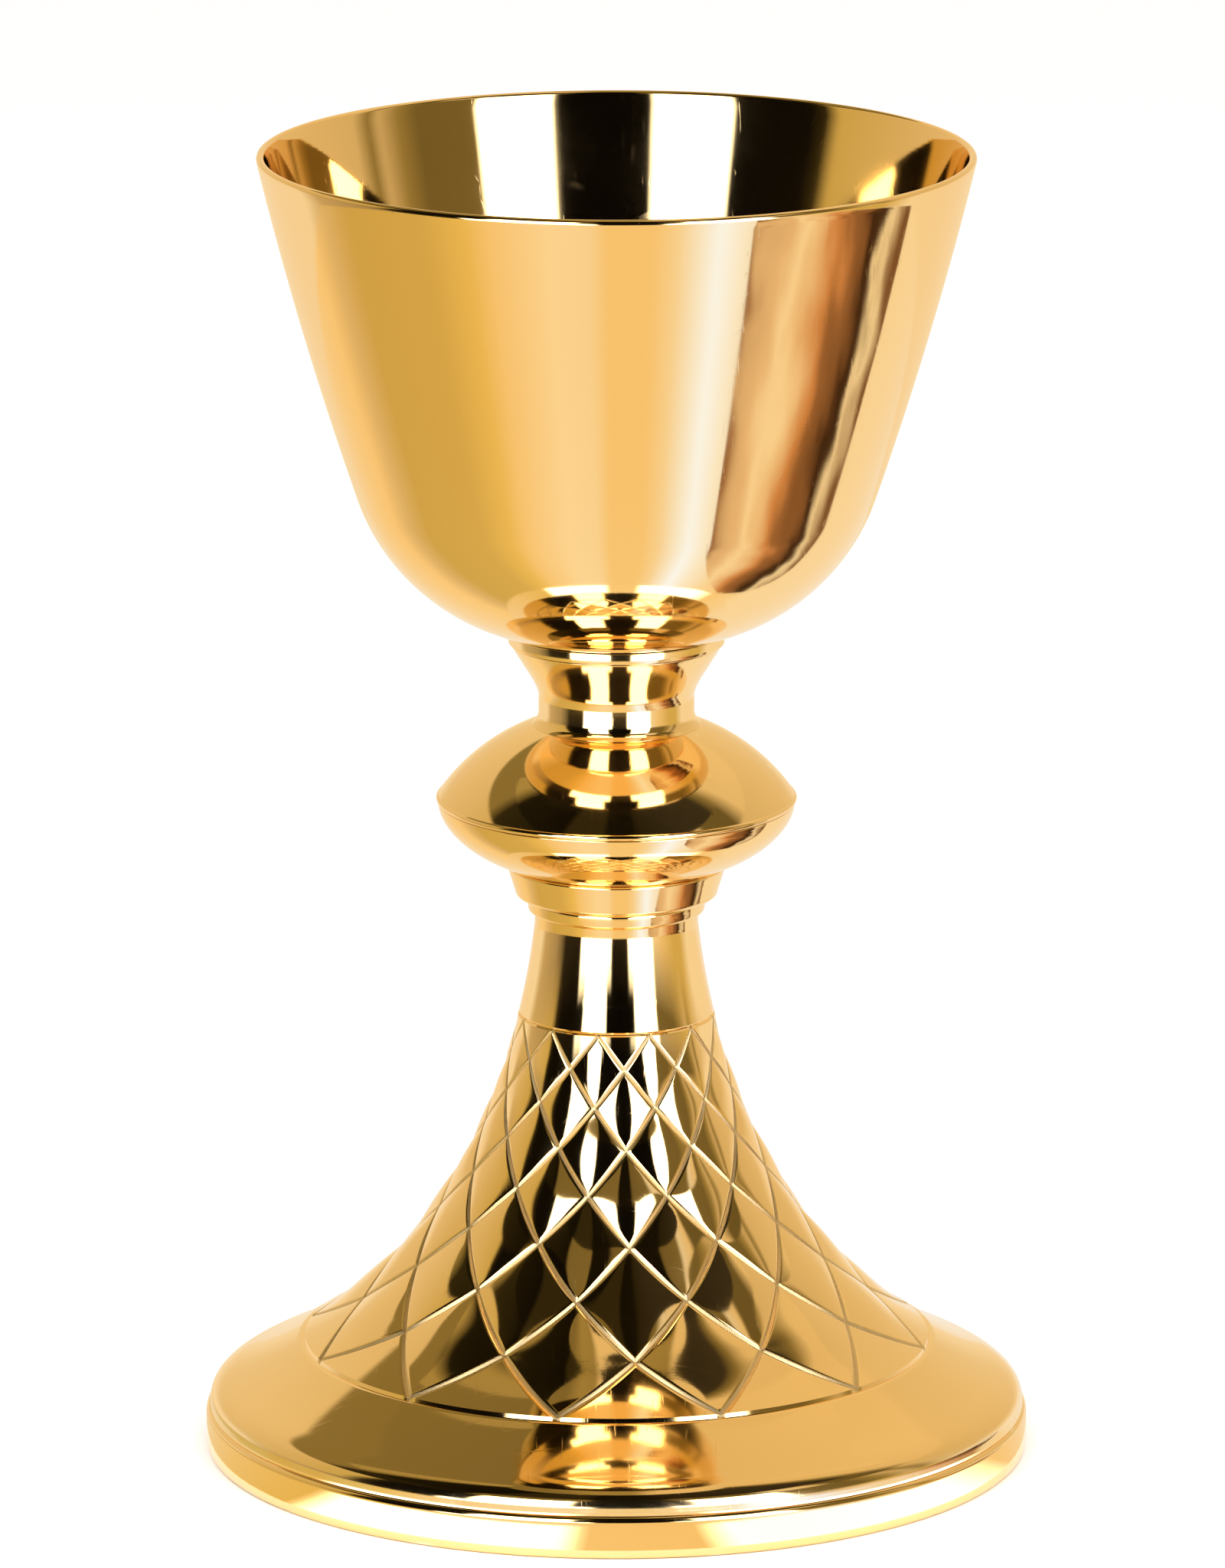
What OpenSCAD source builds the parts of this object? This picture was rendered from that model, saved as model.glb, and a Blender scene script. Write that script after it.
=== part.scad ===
// Communion chalice: a spun cup that unscrews from a knopped stem on a trumpet foot.
// Millimetres, +Z up, origin on the axis at the resting plane under the foot.

/* [Cup] */
// Outer diameter of the cup at its rim
rim_d = 107.6; // [106:0.2:108.6]
// Height of the cup from the underside of its bowl to its rim
cup_h = 73.8; // [72:0.2:76]
// Radius of the rounded bottom of the bowl
bowl_round_r = 32; // [31.5:0.5:33]
// Radius of the flat middle of the bowl's underside
bowl_flat_r = 8.7; // [8.6:0.1:9]
// Slope of the wall from vertical where it leaves the rounded bottom
bowl_blend_deg = 18.8; // [18:0.2:20]
// Thickness of the spun sheet of cup, knop and foot
sheet_t = 1.2; // [1:0.1:1.4]

/* [Cup fixing] */
// Diameter of the loose ring between cup and stem
cup_collar_d = 32.6; // [32:0.2:33]
// Diameter of the boss's flange under the bowl
boss_flange_d = 24; // [23:0.2:25]
// Length of the boss's spigot that drops into the stem
spigot_len = 3.6; // [3:0.1:3.8]
// Number of turns that take the cup off
cup_turns = 8; // [6:1:8]

/* [Stem and knop] */
// Height of the upper stem
stem_h = 12.5; // [12.3:0.1:12.8]
// Diameter of the upper stem under the cup
stem_top_d = 32; // [31.6:0.1:32.4]
// Diameter of the upper stem at its waist
stem_waist_d = 23.5; // [23:0.1:24]
// Diameter of the joint between stem and knop
neck_d = 25.6; // [25.2:0.1:26]
// Greatest diameter of the knop
knop_d = 54; // [52:0.2:56]
// Height of the upper knop shell with its neck
knop_upper_h = 11.9; // [11.6:0.1:12.2]
// Height of the lower knop shell
knop_lower_h = 9.6; // [9.2:0.1:10]
// Diameter of the collar under the knop
lower_collar_d = 33.2; // [32.8:0.2:34]
// Height of the collar under the knop
lower_collar_h = 5; // [4.8:0.1:5.4]
// Diameter of the small ring on the foot
lower_ring_d = 26.8; // [26.4:0.1:27.2]
// Height of the small ring on the foot
lower_ring_h = 2.4; // [2.2:0.1:2.6]

/* [Foot] */
// Height of the foot with its rim
foot_h = 83.8; // [82:0.2:86]
// Diameter of the foot at its neck
foot_neck_d = 24.8; // [24.6:0.1:25.4]
// Greatest diameter of the foot's rim
foot_d = 125.2; // [122:0.2:128]
// Height of the rim under the foot
foot_rim_h = 6.6; // [6:0.1:7]

/* [Tie rod and fasteners] */
// Nominal diameter of the tie rod's and stud's thread
thread_d = 8; // [8:0.1:8.2]
// Pitch of that thread
thread_pitch = 1.25; // [1:0.05:1.25]
// Width across the flats of the nut
nut_flats = 13; // [13:0.1:13.4]
// Height of the nut
nut_h = 6.5; // [6:0.1:7]

/* [Hidden] */
$fn = 96;

gilt = [0.86, 0.64, 0.25];
gilt_deep = [0.80, 0.57, 0.20];
bare_brass = [0.72, 0.56, 0.30];
zinc = [0.66, 0.67, 0.68];

// Heights of the joints, counted up from the resting plane
z_ring = foot_h;
z_collar = z_ring + lower_ring_h;
z_knop = z_collar + lower_collar_h;
z_seam = z_knop + knop_lower_h;
z_stem = z_seam + knop_upper_h;
z_seat = z_stem + stem_h;
seat_gap = 0.1;
boss_flange_t = 0.9;
z_boss = z_seat + seat_gap;
z_bowl = z_boss + boss_flange_t;
z_rim = z_bowl + cup_h;

// Clearances
fixed_gap = 0.02;
thread_gap = 0.05;
running_gap = 0.08;
passing_gap = 0.1;

// Cup outline: the wall arc is tangent to the bowl arc and runs up to the lip
bowl_centre = [bowl_flat_r, z_bowl + bowl_round_r];
blend_dir = [cos(bowl_blend_deg), -sin(bowl_blend_deg)];
blend_point = bowl_centre + bowl_round_r * blend_dir;
lip_centre = [rim_d - sheet_t, 2 * z_rim - sheet_t] / 2;
to_blend = blend_point - sheet_t / 2 * blend_dir - lip_centre;
wall_mid_r = (to_blend * to_blend) / (2 * (blend_dir * to_blend));
wall_r = wall_mid_r + sheet_t / 2;
wall_centre = blend_point - wall_r * blend_dir;
rim_deg = asin((lip_centre[1] - wall_centre[1]) / wall_mid_r);

// Cup fixing
stud_r = thread_d / 2;
tapped_r = stud_r + thread_gap;
stud_len = cup_turns * thread_pitch;
z_spigot = z_boss - spigot_len;
spigot_r = 9.5;
stud_bore_depth = spigot_len - 0.2;

// Coupling inside the stem and knop
coupling_head_r = 9.5;
coupling_head_h = 4.2;
coupling_shank_r = 8;
coupling_shank_h = 16;
z_coupling_head = z_spigot - passing_gap - coupling_head_h;
z_coupling_foot = z_coupling_head - coupling_shank_h;
rod_engagement = 9.5;
z_rod_top = z_coupling_foot + rod_engagement;
sleeve_wall = 1.8;
bead_r = 0.5;

// Parts under the foot's cap
foot_cap_t = 3;
washer_r = 10;
washer_t = 1.5;
lock_washer_r = 7.4;
lock_washer_t = 2;
lock_washer_slit = 1.2;
rod_tail = 2;
z_cap = foot_h - foot_cap_t;
z_washer = z_cap - washer_t;
z_lock = z_washer - lock_washer_t;
z_nut = z_lock - nut_h;
z_rod_end = z_nut - rod_tail;
foot_rim_land = 5.5;
foot_rim_wall = 1.8;
foot_rim_floor = 1.4;

// Points of a circular arc
function arc(centre, r, from_deg, to_deg, steps) = [
    for (i = [0 : steps])
        let (a = from_deg + (to_deg - from_deg) * i / steps)
        centre + r * [cos(a), sin(a)]
];

// Points of a cubic Bezier curve
function bezier(a, b, c, d, steps) = [
    for (i = [0 : steps])
        let (t = i / steps, u = 1 - t)
        u * u * u * a + 3 * u * u * t * b + 3 * u * t * t * c + t * t * t * d
];

function reverse(list) = [for (i = [len(list) - 1 : -1 : 0]) list[i]];

// Direction of a curve at point i, from its neighbours
function heading(curve, i) =
    let (step = curve[min(i + 1, len(curve) - 1)] - curve[max(i - 1, 0)])
    step / norm(step);

// Curve moved sideways by a distance, to the right of its heading
function beside(curve, distance) = [
    for (i = [0 : len(curve) - 1])
        let (h = heading(curve, i))
        curve[i] + distance * [h[1], -h[0]]
];

// Part of the bowl's underside between two radii, a gap below the metal
function under_bowl(from_r, to_r, gap) =
    let (r = bowl_round_r + gap)
    arc(bowl_centre, r, -acos((from_r - bowl_flat_r) / r), -acos((to_r - bowl_flat_r) / r), 4);

// Outline of the cup from its axis to the rim, at a depth into the metal
function cup_side(depth) = concat(
    [[0, z_bowl + depth]],
    arc(bowl_centre, bowl_round_r - depth, -90, -bowl_blend_deg, 18),
    arc(wall_centre, wall_r - depth, -bowl_blend_deg, rim_deg, 18)
);

module spin(outline) {
    rotate_extrude() polygon(outline);
}

// Plain disc with a hole, standing on height z
module ring(outer_r, inner_r, z, h) {
    translate([0, 0, z])
        difference() {
            cylinder(r = outer_r, h = h);
            translate([0, 0, -1])
                cylinder(r = inner_r, h = h + 2);
        }
}

// Upright hole cut from z over a height, run past both faces
module hole(r, z, h) {
    translate([0, 0, z - 1])
        cylinder(r = r, h = h + 2);
}

// Spun cup: flat-bottomed round bowl, flared wall and a rounded lip
module cup() {
    lip = arc(lip_centre, sheet_t / 2, rim_deg, rim_deg + 180, 8);
    color(gilt)
        spin(concat(cup_side(0), lip, reverse(cup_side(sheet_t))));
}

// Turned boss brazed under the bowl, with a spigot and a blind bore for the stud
module cup_boss() {
    flange_r = boss_flange_d / 2;
    top = concat([[0, z_bowl - fixed_gap]], under_bowl(bowl_flat_r, flange_r, fixed_gap));
    bottom = [[flange_r, z_boss], [spigot_r, z_boss], [spigot_r, z_spigot], [0, z_spigot]];
    color(bare_brass)
        difference() {
            spin(concat(top, bottom));
            translate([0, 0, z_spigot - 1])
                cylinder(r = stud_r + fixed_gap, h = stud_bore_depth + 1);
        }
}

// Threaded stud brazed into the boss
module cup_stud() {
    tip = 0.8;
    color(bare_brass)
        translate([0, 0, z_spigot - stud_len]) {
            cylinder(r1 = stud_r - tip, r2 = stud_r, h = tip);
            translate([0, 0, tip])
                cylinder(r = stud_r, h = stud_len - tip + stud_bore_depth - fixed_gap);
        }
}

// Loose ring that covers the joint between cup and stem
module cup_collar() {
    outer_r = cup_collar_d / 2;
    inner_r = boss_flange_d / 2 + running_gap;
    edge = 0.4;
    top = under_bowl(inner_r, outer_r - edge, passing_gap);
    z_edge = top[len(top) - 1][1];
    side = [[outer_r, z_edge - edge], [outer_r, z_boss + edge], [outer_r - edge, z_boss]];
    color(gilt)
        spin(concat(top, side, [[inner_r, z_boss]]));
}

// Turned upper stem: waisted outside, stepped bore inside
module upper_stem() {
    waist = [stem_waist_d / 2, z_stem + 2.3];
    flare_foot = waist + [0, 2];
    neck = [neck_d / 2, z_stem];
    seat = [stem_top_d / 2, z_seat];
    lower_curve = bezier(neck, neck + [-0.7, 0.7], waist - [0, 1.1], waist, 6);
    upper_curve = bezier(flare_foot, flare_foot + [0, 2], seat + [-2.1, -3.8], seat, 14);
    color(gilt)
        difference() {
            spin(concat([[0, z_stem]], lower_curve, upper_curve, [[0, z_seat]]));
            hole(coupling_shank_r + running_gap, z_stem, stem_h);
            translate([0, 0, z_coupling_head])
                cylinder(r = spigot_r + running_gap, h = stem_h);
        }
}

// Long threaded coupling that joins the tie rod to the cup's stud
module stem_coupling() {
    color(bare_brass)
        difference() {
            union() {
                translate([0, 0, z_coupling_foot])
                    cylinder(r = coupling_shank_r, h = coupling_shank_h);
                translate([0, 0, z_coupling_head])
                    cylinder(r = coupling_head_r, h = coupling_head_h);
            }
            hole(tapped_r, z_coupling_foot, coupling_shank_h + coupling_head_h);
        }
}

// Upper knop shell: a low dome from the neck to a bead at the seam
module knop_upper() {
    neck = [neck_d / 2, z_stem];
    edge = [knop_d / 2 - 0.1, z_seam + 2 * bead_r];
    outside = bezier(neck, neck + [6.7, -2.6], edge + [-3, 4.25], edge, 22);
    inside = beside(outside, sheet_t);
    plate = [[inside[1][0], z_stem - sheet_t], [0, z_stem - sheet_t], [0, z_stem]];
    shell = [for (i = [2 : len(inside) - 1]) inside[i]];
    seam = [[edge[0], z_seam], [edge[0] - sheet_t, z_seam]];
    color(gilt)
        difference() {
            union() {
                spin(concat(outside, seam, reverse(shell), plate));
                rotate_extrude()
                    translate([knop_d / 2 - bead_r / 2, z_seam + bead_r])
                        circle(r = bead_r);
            }
            hole(coupling_shank_r + running_gap, z_stem - sheet_t, sheet_t);
        }
}

// Spacer tube inside the knop that carries the pull of the tie rod
module knop_sleeve() {
    inner_r = coupling_shank_r + passing_gap;
    z_floor = z_knop + sheet_t;
    color(bare_brass)
        ring(inner_r + sleeve_wall, inner_r, z_floor, z_stem - sheet_t - z_floor);
}

// Lower knop shell: rounded underside, flat floor and a lip that centres the upper shell
module knop_lower() {
    edge = [knop_d / 2, z_seam];
    rest = [16.2, z_knop];
    outside = bezier(rest, rest + [6.3, 2], edge + [-0.1, -3.6], edge, 18);
    inside = [for (p = beside(outside, -sheet_t)) if (p[1] > z_knop + sheet_t && p[1] < z_seam) p];
    lip_r = edge[0] - sheet_t - 0.4;
    lip_top = z_seam + 0.8;
    lip = [[lip_r, z_seam], [lip_r, lip_top], [lip_r - 0.9, lip_top], [lip_r - 0.9, z_seam - 1]];
    floor_top = [[inside[0][0], z_knop + sheet_t], [0, z_knop + sheet_t]];
    wall = [for (p = inside) if (p[1] < z_seam - 1.2) p];
    color(gilt_deep)
        difference() {
            spin(concat([[0, z_knop]], outside, lip, reverse(wall), floor_top));
            hole(tapped_r, z_knop, sheet_t);
        }
}

// Turned collar under the knop, tapering down to a rounded lower edge
module lower_collar() {
    outer_r = lower_collar_d / 2;
    taper = 1.2;
    round_r = 0.9;
    edge = 0.3;
    top = [[0, z_knop], [outer_r - edge, z_knop], [outer_r, z_knop - edge]];
    lower_edge = arc([outer_r - taper - round_r, z_collar + round_r], round_r, 0, -90, 6);
    color(gilt)
        difference() {
            spin(concat(top, lower_edge, [[0, z_collar]]));
            hole(tapped_r, z_collar, lower_collar_h);
        }
}

// Small ring with rounded edges between the collar and the foot
module lower_ring() {
    round_r = 0.6;
    round_at = lower_ring_d / 2 - round_r;
    lower_edge = arc([round_at, z_ring + round_r], round_r, -90, 0, 6);
    upper_edge = arc([round_at, z_collar - round_r], round_r, 0, 90, 6);
    color(gilt)
        difference() {
            spin(concat([[0, z_ring]], lower_edge, upper_edge, [[0, z_collar]]));
            hole(tapped_r, z_ring, lower_ring_h);
        }
}

// Spun trumpet foot, open below
module foot() {
    neck = [foot_neck_d / 2, z_ring - 1.8];
    brow = [foot_d / 2 - 4.7, foot_rim_h + 4.8];
    hem = [foot_d / 2 - 0.5, foot_rim_h];
    trumpet = bezier(neck, neck - [-3.9, 35.7], brow + [-22.3, 10.3], brow, 32);
    corner = [foot_d / 2 - 0.6, foot_rim_h + 0.8];
    shoulder = bezier(brow, brow + [2.6, -1.2], corner + [-0.05, 1.9], corner, 10);
    curve = concat(trumpet, [for (i = [1 : len(shoulder) - 1]) shoulder[i]]);
    outside = concat([[neck[0], z_ring]], curve, [hem]);
    inside = beside(outside, sheet_t);
    last = len(inside) - 1;
    lining = [for (i = [1 : last - 1]) inside[i]];
    ends = [[hem[0] - sheet_t, foot_rim_h]];
    color(gilt)
        spin(concat(outside, ends, reverse(lining), [[neck[0] - sheet_t, z_ring]]));
}

// Disc brazed into the top of the foot, with the hole for the tie rod
module foot_cap() {
    color(bare_brass)
        ring(foot_neck_d / 2 - sheet_t - fixed_gap, tapped_r, z_cap, foot_cap_t);
}

// Soldered rim under the foot: a rounded band with a flat land inside to stand on
module foot_rim() {
    outer_r = foot_d / 2;
    land_r = outer_r - foot_rim_land;
    band = [
        [outer_r - 0.9, 0],
        [outer_r - 0.2, 0.9],
        [outer_r, 2],
        [outer_r, foot_rim_h - 1.6],
        [outer_r - 0.3, foot_rim_h - 0.5],
        [outer_r - 0.8, foot_rim_h]
    ];
    wall = [[outer_r - foot_rim_wall, foot_rim_h], [outer_r - foot_rim_wall, foot_rim_floor]];
    land = [[land_r, foot_rim_floor], [land_r, 0]];
    color(gilt)
        spin(concat(band, wall, land));
}

// Tie rod that pulls stem, knop and foot together
module tie_rod() {
    tip = 0.8;
    color(zinc)
        translate([0, 0, z_rod_end]) {
            cylinder(r1 = stud_r - tip, r2 = stud_r, h = tip);
            translate([0, 0, tip])
                cylinder(r = stud_r, h = z_rod_top - z_rod_end - tip);
        }
}

// Plain washer under the foot's cap
module clamp_washer() {
    color(zinc)
        ring(washer_r, tapped_r + 0.15, z_washer, washer_t);
}

// Split spring washer
module lock_washer() {
    color(zinc)
        difference() {
            ring(lock_washer_r, tapped_r + 0.1, z_lock, lock_washer_t);
            translate([0, -lock_washer_slit / 2, z_lock - 1])
                cube([lock_washer_r + 1, lock_washer_slit, lock_washer_t + 2]);
        }
}

// Hexagon nut with its corners chamfered top and bottom
module hex_nut() {
    corner_r = nut_flats / sqrt(3);
    color(zinc)
        translate([0, 0, z_nut])
            difference() {
                intersection() {
                    cylinder(r = corner_r, h = nut_h, $fn = 6);
                    union() {
                        cylinder(r1 = corner_r - 1, r2 = corner_r + 1, h = nut_h / 2);
                        translate([0, 0, nut_h / 2])
                            cylinder(r1 = corner_r + 1, r2 = corner_r - 1, h = nut_h / 2);
                    }
                }
                translate([0, 0, -1])
                    cylinder(r = tapped_r, h = nut_h + 2);
            }
}

cup();
cup_boss();
cup_stud();
cup_collar();
upper_stem();
stem_coupling();
knop_upper();
knop_sleeve();
knop_lower();
lower_collar();
lower_ring();
foot();
foot_cap();
foot_rim();
tie_rod();
clamp_washer();
lock_washer();
hex_nut();
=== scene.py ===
"""Communion chalice: the looks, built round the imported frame. Metres, +Z up, front towards -Y."""

import math

import bmesh
import bpy
import numpy as np
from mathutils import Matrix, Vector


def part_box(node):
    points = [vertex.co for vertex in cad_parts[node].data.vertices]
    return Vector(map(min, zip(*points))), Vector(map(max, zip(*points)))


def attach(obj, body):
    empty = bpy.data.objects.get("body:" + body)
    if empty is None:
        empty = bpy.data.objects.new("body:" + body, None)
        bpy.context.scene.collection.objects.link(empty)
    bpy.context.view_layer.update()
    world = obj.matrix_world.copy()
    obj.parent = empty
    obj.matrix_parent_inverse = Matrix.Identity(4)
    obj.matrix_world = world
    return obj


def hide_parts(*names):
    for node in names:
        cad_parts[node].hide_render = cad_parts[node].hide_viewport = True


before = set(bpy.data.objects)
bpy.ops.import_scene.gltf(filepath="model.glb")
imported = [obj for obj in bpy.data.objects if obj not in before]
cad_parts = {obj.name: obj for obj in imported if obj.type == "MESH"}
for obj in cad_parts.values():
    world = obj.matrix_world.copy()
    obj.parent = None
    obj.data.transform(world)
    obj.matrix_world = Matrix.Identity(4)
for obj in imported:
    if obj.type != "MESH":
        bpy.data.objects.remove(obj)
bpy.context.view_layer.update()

MM = 0.001
SEGMENTS = 288


# ---------------------------------------------------------------- sizes
def low(node):
    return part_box(node)[0].z


def high(node):
    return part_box(node)[1].z


def wide(node):
    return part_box(node)[1].x


SHEET = 1.2 * MM
BOWL_ROUND_R = 32 * MM
BOWL_FLAT_R = 8.7 * MM
BOWL_BLEND = math.radians(18.8)
STUD_R = wide("cup_stud")
TAPPED_R = STUD_R + 0.05 * MM
PITCH = 1.25 * MM
THREAD_DEPTH = 0.62 * MM
SPIGOT_R = 9.5 * MM
SHANK_R = 8 * MM
SHANK_HOLE_R = SHANK_R + 0.08 * MM
NECK_R = 12.8 * MM
WAIST_R = 11.75 * MM
HEAD_H = 4.2 * MM
ROD_TIP = 0.8 * MM
EDGE = 0.15 * MM


# ---------------------------------------------------------------- outlines, as (radius, height) points
def point(r_mm, z_mm=0.0):
    return np.array([r_mm, z_mm], float) * MM


def arc(centre, r, start, end, steps):
    turn = np.linspace(start, end, steps + 1)
    return np.array(centre) + r * np.stack([np.cos(turn), np.sin(turn)], 1)


def bezier(a, b, c, d, steps):
    t = np.linspace(0, 1, steps + 1)[:, None]
    u = 1 - t
    return u**3 * a + 3 * u**2 * t * b + 3 * u * t**2 * c + t**3 * d


def headings(curve):
    step = np.gradient(curve, axis=0)
    return step / np.linalg.norm(step, axis=1)[:, None]


def beside(curve, distance):
    """The curve moved sideways, to the right of its heading."""
    h = headings(curve)
    return curve + distance * np.stack([h[:, 1], -h[:, 0]], 1)


def softened(outline, radius=EDGE, steps=4):
    """A closed outline with each corner sharper than 20 degrees turned into a small curve."""
    out = []
    n = len(outline)
    for i in range(n):
        before, here, after = outline[i - 1], outline[i], outline[(i + 1) % n]
        into, away = here - before, after - here
        len_in, len_out = np.linalg.norm(into), np.linalg.norm(away)
        bend = np.dot(into, away) / (len_in * len_out)
        on_axis = here[0] < 1e-9
        if on_axis or bend > math.cos(math.radians(20)):
            out.append(here)
            continue
        cut = min(radius, 0.45 * len_in, 0.45 * len_out)
        start, end = here - into / len_in * cut, here + away / len_out * cut
        for t in np.linspace(0, 1, steps + 1):
            out.append((1 - t) ** 2 * start + 2 * t * (1 - t) * here + t**2 * end)
    return np.array(out)


def rows(r, z_from, z_to, spacing):
    """Points up or down a straight wall, close enough together to carry a thread."""
    count = max(2, int(abs(z_to - z_from) / spacing))
    return np.stack([np.full(count + 1, r), np.linspace(z_from, z_to, count + 1)], 1)


# ---------------------------------------------------------------- threads
def tooth(z, turn):
    """0 on the crest and 1 in the root of a right-hand thread."""
    phase = (z / PITCH - turn / (2 * math.pi)) % 1.0
    return np.clip((abs(phase - 0.5) * 2 - 0.125) / 0.75, 0, 1)


def outer_thread(crest_r):
    """Cuts a thread into the wall that stands at crest_r."""

    def shape(r, z, turn):
        return np.where(abs(r - crest_r) < 1e-7, crest_r - THREAD_DEPTH * tooth(z, turn), r)

    return shape


def inner_thread(bore_r):
    """Cuts a thread outwards from a bore, so that the bore itself stays clear."""

    def shape(r, z, turn):
        return np.where(abs(r - bore_r) < 1e-7, bore_r + THREAD_DEPTH * tooth(z, turn), r)

    return shape


# ---------------------------------------------------------------- mesh making
def on_turn(r, z, turn):
    """The place at a radius, a height and a turn measured from the front, to the right."""
    return np.stack([r * np.sin(turn), -r * np.cos(turn), z + 0 * turn], -1)


def make_object(name, verts, faces, body, replaces, sharp_deg=32):
    mesh = bpy.data.meshes.new(name)
    mesh.from_pydata([tuple(v) for v in verts], [], faces)
    bm = bmesh.new()
    bm.from_mesh(mesh)
    bmesh.ops.recalc_face_normals(bm, faces=bm.faces)
    bm.to_mesh(mesh)
    bm.free()
    mesh.shade_smooth()
    mesh.set_sharp_from_angle(angle=math.radians(sharp_deg))
    piece = bpy.data.objects.new(name, mesh)
    bpy.context.scene.collection.objects.link(piece)
    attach(piece, body)
    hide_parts(replaces)
    return piece


def lathe(name, outline, body, replaces, shape=None, segments=SEGMENTS, sharp_deg=32):
    """Spins a closed outline about the axis. Points at radius 0 become one vertex."""
    verts, rings = [], []
    turn = np.linspace(0, 2 * math.pi, segments, endpoint=False)
    for r, z in outline:
        if r < 1e-9:
            rings.append([len(verts)])
            verts.append((0.0, 0.0, z))
            continue
        radius = shape(np.full(segments, r), z, turn) if shape else np.full(segments, r)
        rings.append(list(range(len(verts), len(verts) + segments)))
        verts.extend(on_turn(radius, z, turn))
    faces = []
    for a, b in zip(rings, rings[1:] + rings[:1]):
        if len(a) == 1 and len(b) == 1:
            continue
        for i in range(segments):
            j = (i + 1) % segments
            if len(a) == 1:
                faces.append((a[0], b[i], b[j]))
            elif len(b) == 1:
                faces.append((a[i], a[j], b[0]))
            else:
                faces.append((a[i], a[j], b[j], b[i]))
    return make_object(name, verts, faces, body, replaces, sharp_deg)


# ---------------------------------------------------------------- cup
def bowl_centre():
    return np.array([BOWL_FLAT_R, low("cup") + BOWL_ROUND_R])


def under_bowl(r_from, r_to, gap):
    """The bowl's underside between two radii, a gap below the metal."""
    r = BOWL_ROUND_R + gap
    turn = [-math.acos((x - BOWL_FLAT_R) / r) for x in (r_from, r_to)]
    return arc(bowl_centre(), r, turn[0], turn[1], 8)


def spun_cup():
    rim_r, rim_z = wide("cup"), high("cup")
    away = np.array([math.cos(BOWL_BLEND), -math.sin(BOWL_BLEND)])
    blend = bowl_centre() + BOWL_ROUND_R * away
    lip = np.array([rim_r, rim_z]) - SHEET / 2
    gap = blend - SHEET / 2 * away - lip
    wall_r = (gap @ gap) / (2 * (away @ gap)) + SHEET / 2
    wall_centre = blend - wall_r * away
    rim_turn = math.asin((lip[1] - wall_centre[1]) / (wall_r - SHEET / 2))

    def side(depth):
        bowl = arc(bowl_centre(), BOWL_ROUND_R - depth, -math.pi / 2, -BOWL_BLEND, 60)
        wall = arc(wall_centre, wall_r - depth, -BOWL_BLEND, rim_turn, 40)
        middle = [[x, low("cup") + depth] for x in np.linspace(0, BOWL_FLAT_R, 8)[:-1]]
        return np.concatenate([middle, bowl, wall[1:]])

    round_lip = arc(lip, SHEET / 2, rim_turn, rim_turn + math.pi, 12)[1:-1]
    outline = np.concatenate([side(0), round_lip, side(SHEET)[::-1]])
    return lathe("spun_cup", outline, "cup_assembly", "cup", segments=384)


def turned_boss():
    flange_r, z_flange, z_end = wide("cup_boss"), low("cup_collar"), low("cup_boss")
    gap = 0.02 * MM
    hole_r, z_hole = STUD_R + gap, high("cup_stud") + gap
    top = under_bowl(BOWL_FLAT_R, flange_r, gap)
    corners = [
        [flange_r, z_flange],
        [SPIGOT_R, z_flange],
        [SPIGOT_R, z_end],
        [hole_r, z_end],
        [hole_r, z_hole],
        [0, z_hole],
    ]
    outline = np.concatenate([[[0, low("cup") - gap]], top, corners])
    return lathe("turned_boss", softened(outline), "cup_assembly", "cup_boss")


def threaded_stud():
    """Threaded below the boss and plain inside it."""
    z0, z1, z_boss = low("cup_stud"), high("cup_stud"), low("cup_boss")
    plain_r = STUD_R - 0.01 * MM
    wall = rows(STUD_R, z0 + ROD_TIP, z_boss, PITCH / 12)
    shank = [[plain_r, z_boss + 0.2 * MM], [plain_r, z1], [0, z1]]
    outline = np.concatenate([[[0, z0], [STUD_R - ROD_TIP, z0]], wall, shank])
    shape = outer_thread(STUD_R)
    return lathe("threaded_stud", outline, "cup_assembly", "cup_stud", shape, 72, 50)


def loose_collar():
    outer, z0 = wide("cup_collar"), low("cup_collar")
    inner = wide("cup_boss") + 0.08 * MM
    top = under_bowl(inner, outer, 0.1 * MM)
    outline = np.concatenate([top, [[outer, z0], [inner, z0]]])
    return lathe("loose_collar", softened(outline, 0.2 * MM), "collar", "cup_collar")


# ---------------------------------------------------------------- stem and knop
def waisted_stem():
    z0, z1 = low("upper_stem"), high("upper_stem")
    neck, waist = np.array([NECK_R, z0]), np.array([WAIST_R, z0 + 2.3 * MM])
    flare_foot = waist + point(0, 2)
    seat = np.array([wide("upper_stem"), z1])
    lower = bezier(neck, neck + point(-0.7, 0.7), waist - point(0, 1.1), waist, 20)
    upper = bezier(flare_foot, flare_foot + point(0, 2), seat + point(-2.1, -3.8), seat, 48)
    z_step, bore_r = high("stem_coupling") - HEAD_H, SPIGOT_R + 0.08 * MM
    bore = [[bore_r, z1], [bore_r, z_step], [SHANK_HOLE_R, z_step], [SHANK_HOLE_R, z0]]
    outline = np.concatenate([lower, upper, bore])
    return lathe("waisted_stem", softened(outline), "base", "upper_stem")


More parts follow.
